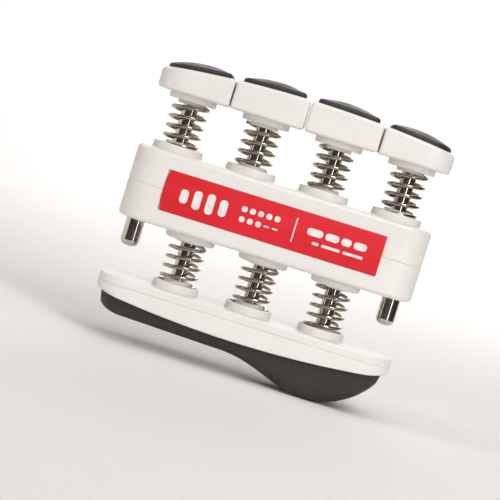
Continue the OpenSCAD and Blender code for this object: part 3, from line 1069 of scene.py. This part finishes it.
def make_stage():
    """Pale floor that curves up into a backdrop."""
    n = Nodes("stage_paper")
    tone = n.mix(n.remap(n.noise(3, 2), 0.3, 0.7, 0, 1), PAPER, PAPER_DIM)
    roughness = n.remap(n.noise(40, 2), 0.3, 0.7, 0.85, 0.95)
    paper = n.output(tone, roughness, n.bump(n.noise(900, 2), 0.05, 0.0001))
    profile = [(FLOOR_NEAR, 0.0), (FLOOR_FAR, 0.0)]
    for i in range(1, 17):
        a = math.radians(90 * i / 16)
        profile.append((FLOOR_FAR + SWEEP_R * math.sin(a), SWEEP_R - SWEEP_R * math.cos(a)))
    profile.append((FLOOR_FAR + SWEEP_R, SWEEP_TOP))
    bm = bmesh.new()
    rows = [[bm.verts.new((x, y, z)) for y, z in profile] for x in (-FLOOR_HALF_W, FLOOR_HALF_W)]
    for i in range(len(profile) - 1):
        bm.faces.new((rows[0][i], rows[1][i], rows[1][i + 1], rows[0][i + 1]))
    finish_mesh("floor", bm, paper, sharp=60)


LIGHT_AIM = Vector((0, 0, 0.04))
LIGHT_SPREAD = math.radians(100)


def soft_light(name, turn, reach, height, size, power):
    """Softbox standing round the object; turn is in degrees to the right of the camera side."""
    data = bpy.data.lights.new(name, "AREA")
    data.shape = "RECTANGLE"
    data.size, data.size_y = size
    data.energy = power
    data.spread = LIGHT_SPREAD
    obj = bpy.data.objects.new(name, data)
    scene.collection.objects.link(obj)
    a = math.radians(turn)
    where = Vector((reach * math.sin(a), -reach * math.cos(a), height))
    obj.location = where
    obj.rotation_mode = "QUATERNION"
    obj.rotation_quaternion = (LIGHT_AIM - where).to_track_quat("-Z", "Y")
    obj.visible_camera = False
    return obj


GLOW_WARM = (1.0, 0.97, 0.93, 1)
GLOW_DIM = (0.94, 0.91, 0.88, 1)
FELT = (0.044, 0.029, 0.021, 1)
FELT_PALE = (0.070, 0.047, 0.034, 1)


def hide_card(card, reflected=True):
    """A card is seen in reflections only, or by the camera only; no diffuse light or shadow."""
    card.visible_camera = not reflected
    card.visible_glossy = reflected
    card.visible_diffuse = False
    card.visible_shadow = False


def glow_sheet(name, power):
    """Evenly lit white sheet, faintly mottled."""
    n = Nodes(name)
    n.shader.inputs["Emission Strength"].default_value = power
    glow = n.mix(n.remap(n.noise(20, 2), 0.3, 0.7, 0, 1), GLOW_WARM, GLOW_DIM)
    n.link(glow, n.shader.inputs["Emission Color"])
    roughness = n.remap(n.noise(90, 2), 0.3, 0.7, 0.5, 0.6)
    return n.output(glow, roughness, n.bump(n.noise(300, 2), 0.2, 0.001))


def spark_card(name, material, turn, rise, reach=0.30, half=0.034):
    """Small bright card high up, for the sharp glint on every turn of wire."""
    a, e = math.radians(turn), math.radians(rise)
    out = Vector((math.cos(e) * math.sin(a), -math.cos(e) * math.cos(a), math.sin(e)))
    side = Vector((math.cos(a), math.sin(a), 0))
    high = out.cross(side)
    bm = bmesh.new()
    corners = ((-half, -half), (half, -half), (half, half), (-half, half))
    verts = [bm.verts.new(LIGHT_AIM + out * reach + side * u + high * v) for u, v in corners]
    bm.faces.new(verts)
    hide_card(finish_mesh(name, bm, material))


def ring_cards(name, material, spans, radius=0.17, height=0.16, reflected=True):
    """Upright cards on a circle round the object; angles as for the lights."""
    bm = bmesh.new()
    for start, end in spans:
        rows = []
        for i in range(13):
            a = math.radians(start + (end - start) * i / 12)
            x, y = radius * math.sin(a), -radius * math.cos(a)
            rows.append([bm.verts.new((x, y, z)) for z in (0, height)])
        for a, b in zip(rows, rows[1:]):
            bm.faces.new((a[0], b[0], b[1], a[1]))
    hide_card(finish_mesh(name, bm, material), reflected)


def make_cards():
    """Cards for the steel's dark bands and glints, and a plain wall for the camera only."""
    n = Nodes("flag_felt")
    tone = n.mix(n.remap(n.noise(12, 3), 0.3, 0.7, 0, 1), FELT, FELT_PALE)
    roughness = n.remap(n.noise(90, 2), 0.3, 0.7, 0.8, 0.95)
    felt = n.output(tone, roughness, n.bump(n.noise(300, 2), 0.2, 0.001))
    ring_cards("flags", felt, ((-66, 33), (39, 112)))
    reflectors = (("reflector_right", (33, 39), 3.6), ("reflector_left", (-128, -66), 0.08))
    for name, span, power in reflectors:
        ring_cards(name, glow_sheet(name, power), (span,))
    sparks = (("spark_front", 22, 50, 22.0), ("spark_left", -130, 42, 14.0))
    for name, turn, rise, power in sparks:
        spark_card(name, glow_sheet(name, power), turn, rise)
    wall = glow_sheet("surround", 0.35)
    ring_cards("surround", wall, ((-155, 155),), radius=0.72, height=1.2, reflected=False)


BACK_AIM = Vector((0, 0.95, 0.25))
SKY = (0.30, 0.22, 0.17, 1)
SKY_STRENGTH = 0.45


def make_lights():
    soft_light("key", 31, 0.62, 0.40, (0.20, 0.74), 0.86)
    soft_light("strip", -72, 0.60, 0.30, (0.13, 0.56), 0.22)
    soft_light("front", 8, 0.95, 0.75, (0.9, 0.5), 0.60)
    soft_light("low", 4, 0.9, 0.09, (0.9, 0.14), 0.44)
    soft_light("top", 20, 0.12, 0.85, (0.7, 0.5), 0.70)
    soft_light("rear", 172, 0.75, 0.42, (0.6, 0.4), 0.42)
    back = soft_light("back", 180, 0.35, 1.1, (0.9, 0.3), 4.0)
    back.rotation_quaternion = (BACK_AIM - back.location).to_track_quat("-Z", "Y")
    world = bpy.data.worlds.new("studio")
    world.use_nodes = True
    sky = world.node_tree.nodes["Background"]
    sky.inputs["Color"].default_value = SKY
    sky.inputs["Strength"].default_value = SKY_STRENGTH
    scene.world = world


make_stage()
make_cards()
make_lights()
scene.view_settings.view_transform = "Standard"
scene.view_settings.look = "None"
